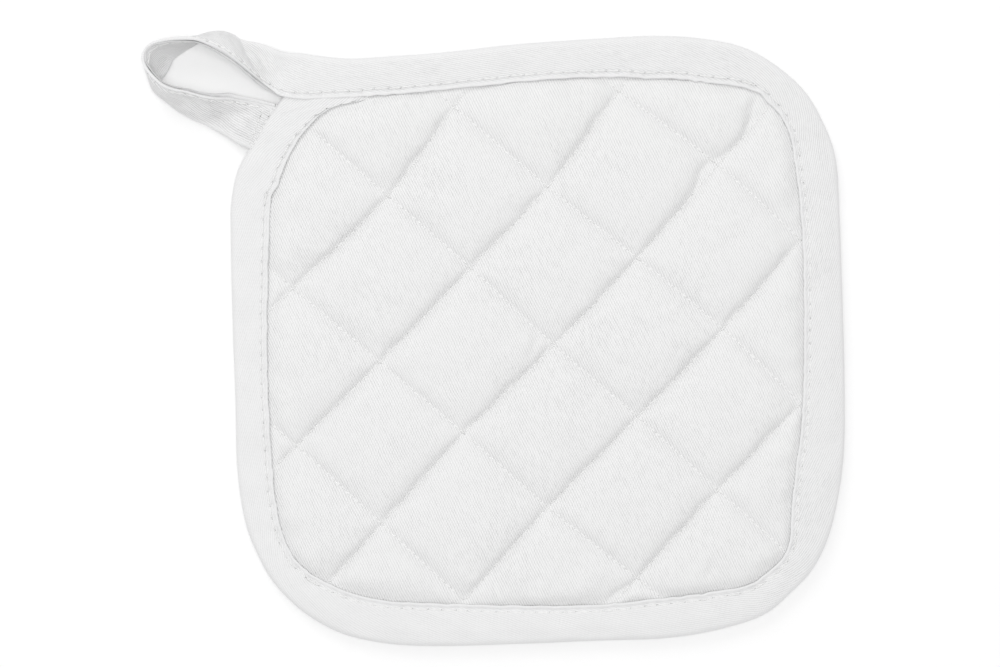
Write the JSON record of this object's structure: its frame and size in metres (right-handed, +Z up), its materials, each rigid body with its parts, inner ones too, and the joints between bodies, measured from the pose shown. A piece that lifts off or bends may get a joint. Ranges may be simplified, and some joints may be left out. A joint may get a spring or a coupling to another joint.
{
  "type": "quilted pot holder",
  "caption": "Square quilted cloth pot holder with rounded corners, a tape-bound rim and a hanging loop at one corner, lying flat.",
  "frame": {"origin": "under the middle of the whole outline, hanging loop included, on the surface that it lies on", "axes": "+Z up out of the front face, +X along the longest extent, the loop at the -X +Y corner"},
  "size_m": [0.2342, 0.2048, 0.0133],
  "materials": {
    "pad_cloth": "matt white cotton twill, quilted",
    "tape_cloth": "matt white cotton twill tape, topstitched"
  },
  "bodies": {
    "root": {"quilted_pad": "pad_cloth", "edge_binding": "tape_cloth", "hanging_loop": "tape_cloth"}
  },
  "joints": []
}
